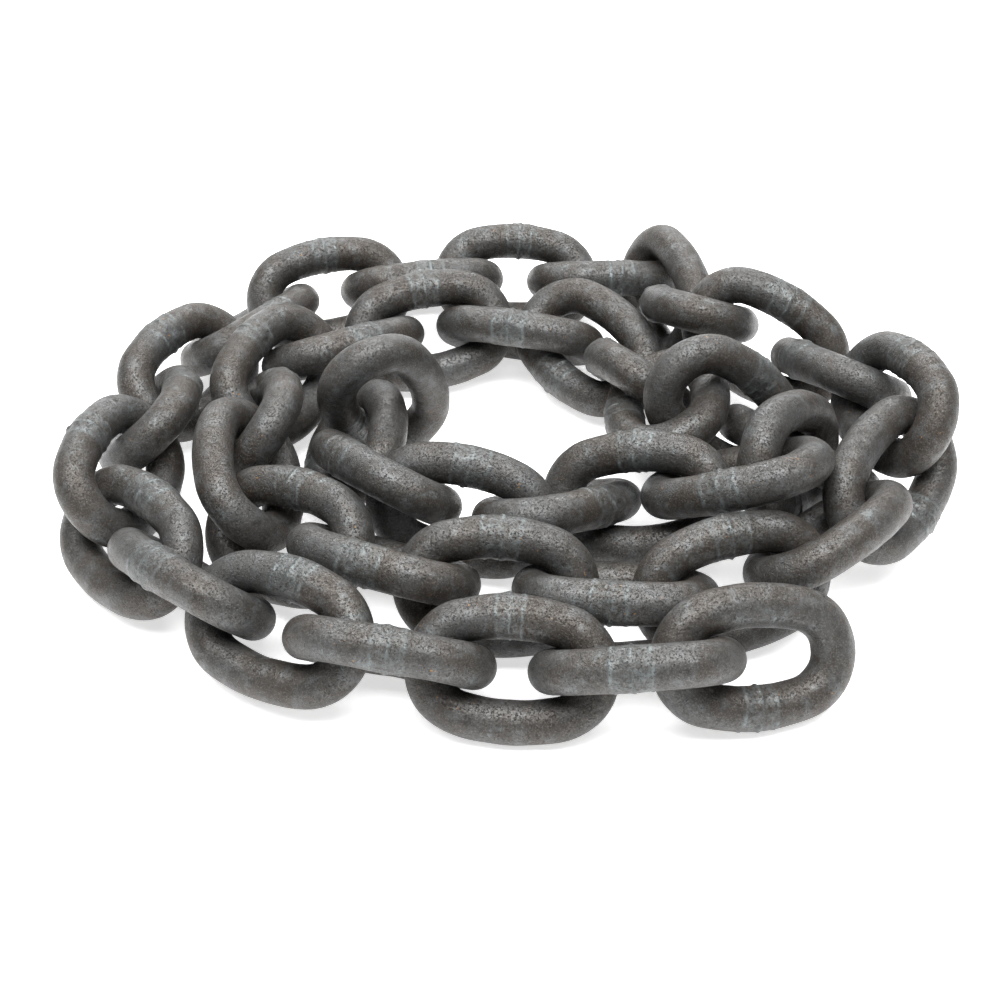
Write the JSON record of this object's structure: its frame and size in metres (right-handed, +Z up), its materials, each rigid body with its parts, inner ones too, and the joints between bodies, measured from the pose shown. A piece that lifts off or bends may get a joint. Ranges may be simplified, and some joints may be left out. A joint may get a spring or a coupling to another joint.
{
  "type": "anchor chain",
  "caption": "Coiled length of heavy short-link anchor chain for mooring a boat, with plain welded links hinged crown to crown and an open eye at each end.",
  "frame": {"origin": "on the floor under the middle of the coil's plan", "axes": "+Z up, +X to the right as one faces the coil's front, +Y towards its back"},
  "size_m": [0.2854, 0.2528, 0.0586],
  "materials": {
    "weathered_galvanised_steel": "hot-dip galvanised, weathered to a dull brownish grey"
  },
  "bodies": {
    "link_01": {"Link_01": "weathered_galvanised_steel"},
    "link_02": {"Link_02": "weathered_galvanised_steel"},
    "link_03": {"Link_03": "weathered_galvanised_steel"},
    "link_04": {"Link_04": "weathered_galvanised_steel"},
    "link_05": {"Link_05": "weathered_galvanised_steel"},
    "link_06": {"Link_06": "weathered_galvanised_steel"},
    "link_07": {"Link_07": "weathered_galvanised_steel"},
    "link_08": {"Link_08": "weathered_galvanised_steel"},
    "link_09": {"Link_09": "weathered_galvanised_steel"},
    "link_10": {"Link_10": "weathered_galvanised_steel"},
    "link_11": {"Link_11": "weathered_galvanised_steel"},
    "link_12": {"Link_12": "weathered_galvanised_steel"},
    "link_13": {"Link_13": "weathered_galvanised_steel"},
    "link_14": {"Link_14": "weathered_galvanised_steel"},
    "link_15": {"Link_15": "weathered_galvanised_steel"},
    "link_16": {"Link_16": "weathered_galvanised_steel"},
    "link_17": {"Link_17": "weathered_galvanised_steel"},
    "link_18": {"Link_18": "weathered_galvanised_steel"},
    "link_19": {"Link_19": "weathered_galvanised_steel"},
    "link_20": {"Link_20": "weathered_galvanised_steel"},
    "link_21": {"Link_21": "weathered_galvanised_steel"},
    "link_22": {"Link_22": "weathered_galvanised_steel"},
    "link_23": {"Link_23": "weathered_galvanised_steel"},
    "link_24": {"Link_24": "weathered_galvanised_steel"},
    "link_25": {"Link_25": "weathered_galvanised_steel"},
    "link_26": {"Link_26": "weathered_galvanised_steel"},
    "link_27": {"Link_27": "weathered_galvanised_steel"},
    "link_28": {"Link_28": "weathered_galvanised_steel"},
    "link_29": {"Link_29": "weathered_galvanised_steel"},
    "link_30": {"Link_30": "weathered_galvanised_steel"},
    "link_31": {"Link_31": "weathered_galvanised_steel"},
    "link_32": {"Link_32": "weathered_galvanised_steel"},
    "link_33": {"Link_33": "weathered_galvanised_steel"},
    "link_34": {"Link_34": "weathered_galvanised_steel"},
    "link_35": {"Link_35": "weathered_galvanised_steel"},
    "link_36": {"Link_36": "weathered_galvanised_steel"},
    "link_37": {"Link_37": "weathered_galvanised_steel"},
    "link_38": {"Link_38": "weathered_galvanised_steel"},
    "link_39": {"Link_39": "weathered_galvanised_steel"},
    "link_40": {"Link_40": "weathered_galvanised_steel"},
    "link_41": {"Link_41": "weathered_galvanised_steel"},
    "link_42": {"Link_42": "weathered_galvanised_steel"},
    "link_43": {"Link_43": "weathered_galvanised_steel"},
    "link_44": {"Link_44": "weathered_galvanised_steel"},
    "link_45": {"Link_45": "weathered_galvanised_steel"},
    "link_46": {"Link_46": "weathered_galvanised_steel"}
  },
  "joints": [
    {"name": "link_22_on_link_23", "type": "hinge", "parent": "link_23", "child": "link_22", "pos_m": [0.0857, -0.064, 0.02912], "axis": [-0.0479, -0.1116, 0.9926], "range_deg": [-0.09, 0]},
    {"name": "link_21_on_link_22", "type": "hinge", "parent": "link_22", "child": "link_21", "pos_m": [0.11182, -0.0392, 0.02538], "axis": [-0.5421, 0.7396, 0.3988], "range_deg": [0, 0.2]},
    {"name": "link_20_on_link_21", "type": "hinge", "parent": "link_21", "child": "link_20", "pos_m": [0.13174, -0.01106, 0.03388], "axis": [0.6446, -0.762, 0.0624], "range_deg": [-0.64, 0]},
    {"name": "link_19_on_link_20", "type": "hinge", "parent": "link_20", "child": "link_19", "pos_m": [0.11376, 0.01523, 0.02389], "axis": [0.3812, 0.9068, 0.1799], "range_deg": [0, 0.59]},
    {"name": "link_18_on_link_19", "type": "hinge", "parent": "link_19", "child": "link_18", "pos_m": [0.09694, 0.0405, 0.02654], "axis": [0.0669, -0.8719, 0.4851], "range_deg": [-0.64, 0]},
    {"name": "link_17_on_link_18", "type": "hinge", "parent": "link_18", "child": "link_17", "pos_m": [0.08292, 0.05647, 0.04466], "axis": [-0.109, 0.8837, -0.4552], "range_deg": [0, 1.7]},
    {"name": "link_16_on_link_17", "type": "hinge", "parent": "link_17", "child": "link_16", "pos_m": [0.05424, 0.07541, 0.02596], "axis": [0.1783, -0.9198, -0.3495], "range_deg": [-0.32, 0]},
    {"name": "link_15_on_link_16", "type": "hinge", "parent": "link_16", "child": "link_15", "pos_m": [0.04823, 0.10225, 0.01063], "axis": [-0.8012, 0.4428, 0.4024], "range_deg": [0, 0.85]},
    {"name": "link_14_on_link_15", "type": "hinge", "parent": "link_15", "child": "link_14", "pos_m": [0.02117, 0.11602, 0.00968], "axis": [0.7474, -0.2374, -0.6206], "range_deg": [-0.32, 0]},
    {"name": "link_13_on_link_14", "type": "hinge", "parent": "link_14", "child": "link_13", "pos_m": [-0.02135, 0.10269, 0.01449], "axis": [-0.1463, 0.9215, 0.3597], "range_deg": [0, 0.42]},
    {"name": "link_12_on_link_13", "type": "hinge", "parent": "link_13", "child": "link_12", "pos_m": [-0.05577, 0.09522, 0.01999], "axis": [-0.3947, 0.6672, -0.6317], "range_deg": [0, 34]},
    {"name": "link_11_on_link_12", "type": "hinge", "parent": "link_12", "child": "link_11", "pos_m": [-0.07775, 0.08107, 0.00779], "axis": [-0.5645, 0.7445, -0.3565], "range_deg": [0, 4]},
    {"name": "link_10_on_link_11", "type": "hinge", "parent": "link_11", "child": "link_10", "pos_m": [-0.10985, 0.05555, 0.01553], "axis": [-0.8487, 0.188, -0.4944], "range_deg": [0, 5]},
    {"name": "link_09_on_link_10", "type": "hinge", "parent": "link_10", "child": "link_09", "pos_m": [-0.12497, 0.02368, 0.0184], "axis": [0.9299, -0.3675, -0.0135], "range_deg": [-0.64, 0]},
    {"name": "link_08_on_link_09", "type": "hinge", "parent": "link_09", "child": "link_08", "pos_m": [-0.12932, -0.00379, 0.01603], "axis": [0.6671, -0.5777, -0.4705], "range_deg": [-0.06, 0.59]},
    {"name": "link_07_on_link_08", "type": "hinge", "parent": "link_08", "child": "link_07", "pos_m": [-0.12191, -0.04057, 0.01576], "axis": [-0.9706, 0.2402, 0.0177], "range_deg": [0, 1.27]},
    {"name": "link_06_on_link_07", "type": "hinge", "parent": "link_07", "child": "link_06", "pos_m": [-0.10035, -0.0662, 0.02116], "axis": [-0.5639, -0.3046, -0.7676], "range_deg": [0, 21]},
    {"name": "link_05_on_link_06", "type": "hinge", "parent": "link_06", "child": "link_05", "pos_m": [-0.07879, -0.07593, 0.01186], "axis": [-0.6733, 0.128, -0.7282], "range_deg": [-0.04, 10]},
    {"name": "link_04_on_link_05", "type": "hinge", "parent": "link_05", "child": "link_04", "pos_m": [-0.0456, -0.1006, 0.02399], "axis": [-0.0861, -0.73, -0.678], "range_deg": [0, 55]},
    {"name": "link_03_on_link_04", "type": "hinge", "parent": "link_04", "child": "link_03", "pos_m": [-0.01107, -0.10346, 0.0161], "axis": [0.5491, -0.7087, 0.443], "range_deg": [-0.16, 2.5]},
    {"name": "link_02_on_link_03", "type": "hinge", "parent": "link_03", "child": "link_02", "pos_m": [0.02384, -0.10645, 0.02098], "axis": [0.1791, -0.6182, -0.7653], "range_deg": [-0.32, 63.5]},
    {"name": "link_01_on_link_02", "type": "hinge", "parent": "link_02", "child": "link_01", "pos_m": [0.05749, -0.10386, 0.02005], "axis": [-0.9779, 0.2072, 0.0277], "range_deg": [-2.5, 11]},
    {"name": "link_24_on_link_23", "type": "hinge", "parent": "link_23", "child": "link_24", "pos_m": [0.04173, -0.07617, 0.02236], "axis": [-0.4979, -0.8119, -0.3049], "range_deg": [-0.32, 0]},
    {"name": "link_25_on_link_24", "type": "hinge", "parent": "link_24", "child": "link_25", "pos_m": [0.0062, -0.0749, 0.02077], "axis": [-0.0703, -0.0075, 0.9975], "range_deg": [-0.08, 0.1]},
    {"name": "link_26_on_link_25", "type": "hinge", "parent": "link_25", "child": "link_26", "pos_m": [-0.02601, -0.06861, 0.02848], "axis": [0.6284, 0.3613, 0.6889], "range_deg": [0, 0.78]},
    {"name": "link_27_on_link_26", "type": "hinge", "parent": "link_26", "child": "link_27", "pos_m": [-0.05648, -0.05183, 0.01836], "axis": [-0.7797, -0.3655, 0.5084], "range_deg": [-0.08, 0]},
    {"name": "link_28_on_link_27", "type": "hinge", "parent": "link_27", "child": "link_28", "pos_m": [-0.07755, -0.03311, 0.02718], "axis": [0.9453, 0.1531, 0.2882], "range_deg": [0, 0.36]},
    {"name": "link_29_on_link_28", "type": "hinge", "parent": "link_28", "child": "link_29", "pos_m": [-0.09366, -0.01685, 0.03631], "axis": [-0.6002, 0.0007, -0.7999], "range_deg": [-0.08, 0]},
    {"name": "link_30_on_link_29", "type": "hinge", "parent": "link_29", "child": "link_30", "pos_m": [-0.09489, 0.00689, 0.00843], "axis": [0.7805, -0.4014, -0.4793], "range_deg": [0, 0.15]},
    {"name": "link_31_on_link_30", "type": "hinge", "parent": "link_30", "child": "link_31", "pos_m": [-0.06619, 0.05396, 0.02051], "axis": [-0.0714, 0.844, 0.5315], "range_deg": [-0.13, 0]},
    {"name": "link_32_on_link_31", "type": "hinge", "parent": "link_31", "child": "link_32", "pos_m": [-0.03738, 0.06694, 0.0184], "axis": [-0.9134, -0.3541, -0.2007], "range_deg": [0, 0.15]},
    {"name": "link_33_on_link_32", "type": "hinge", "parent": "link_32", "child": "link_33", "pos_m": [-0.00527, 0.06968, 0.01713], "axis": [0.7795, 0.2283, 0.5833], "range_deg": [-0.17, 0]},
    {"name": "link_34_on_link_33", "type": "hinge", "parent": "link_33", "child": "link_34", "pos_m": [0.01113, 0.0777, 0.00659], "axis": [-0.7699, 0.6058, 0.2006], "range_deg": [0, 0.26]},
    {"name": "link_35_on_link_34", "type": "hinge", "parent": "link_34", "child": "link_35", "pos_m": [0.04437, 0.03989, 0.0165], "axis": [-0.6464, -0.1208, -0.7534], "range_deg": [-0.08, 0.2]},
    {"name": "link_36_on_link_35", "type": "hinge", "parent": "link_35", "child": "link_36", "pos_m": [0.05447, 0.01275, 0.02645], "axis": [0.6014, 0.0994, -0.7927], "range_deg": [-0.08, 0.2]},
    {"name": "link_37_on_link_36", "type": "hinge", "parent": "link_36", "child": "link_37", "pos_m": [0.06331, -0.00671, 0.0373], "axis": [0.5638, 0.0128, -0.8258], "range_deg": [-0.08, 0.26]},
    {"name": "link_38_on_link_37", "type": "hinge", "parent": "link_37", "child": "link_38", "pos_m": [0.06989, -0.00177, 0.01319], "axis": [-0.9127, 0.2779, 0.2995], "range_deg": [-0.04, 0.36]},
    {"name": "link_39_on_link_38", "type": "hinge", "parent": "link_38", "child": "link_39", "pos_m": [0.10984, -0.00502, 0.00829], "axis": [0.1787, -0.9337, -0.3104], "range_deg": [-0.22, 0]},
    {"name": "link_40_on_link_39", "type": "hinge", "parent": "link_39", "child": "link_40", "pos_m": [0.08237, -0.02605, 0.04855], "axis": [0.9388, -0.0532, 0.3404], "range_deg": [-0.04, 0.59]},
    {"name": "link_41_on_link_40", "type": "hinge", "parent": "link_40", "child": "link_41", "pos_m": [0.04702, -0.03506, 0.0256], "axis": [-0.7292, 0.6444, -0.2302], "range_deg": [0, 1.7]},
    {"name": "link_42_on_link_41", "type": "hinge", "parent": "link_41", "child": "link_42", "pos_m": [0.01604, -0.03116, 0.01869], "axis": [-0.4023, 0.2133, 0.8903], "range_deg": [-0.66, 1.7]},
    {"name": "link_43_on_link_42", "type": "hinge", "parent": "link_42", "child": "link_43", "pos_m": [-0.00618, -0.04397, 0.02264], "axis": [-0.0523, 0.829, -0.5568], "range_deg": [0, 14.5]},
    {"name": "link_44_on_link_43", "type": "hinge", "parent": "link_43", "child": "link_44", "pos_m": [-0.03641, -0.03145, 0.02967], "axis": [0.6478, -0.745, 0.1591], "range_deg": [-0.34, 2.5]},
    {"name": "link_45_on_link_44", "type": "hinge", "parent": "link_44", "child": "link_45", "pos_m": [-0.03701, -0.0134, 0.01385], "axis": [0.9214, -0.2843, 0.265], "range_deg": [-0.17, 1.27]},
    {"name": "link_46_on_link_45", "type": "hinge", "parent": "link_45", "child": "link_46", "pos_m": [-0.06238, 0.0137, 0.00663], "axis": [-0.1009, -0.9936, -0.0509], "range_deg": [-0.59, 5]}
  ]
}
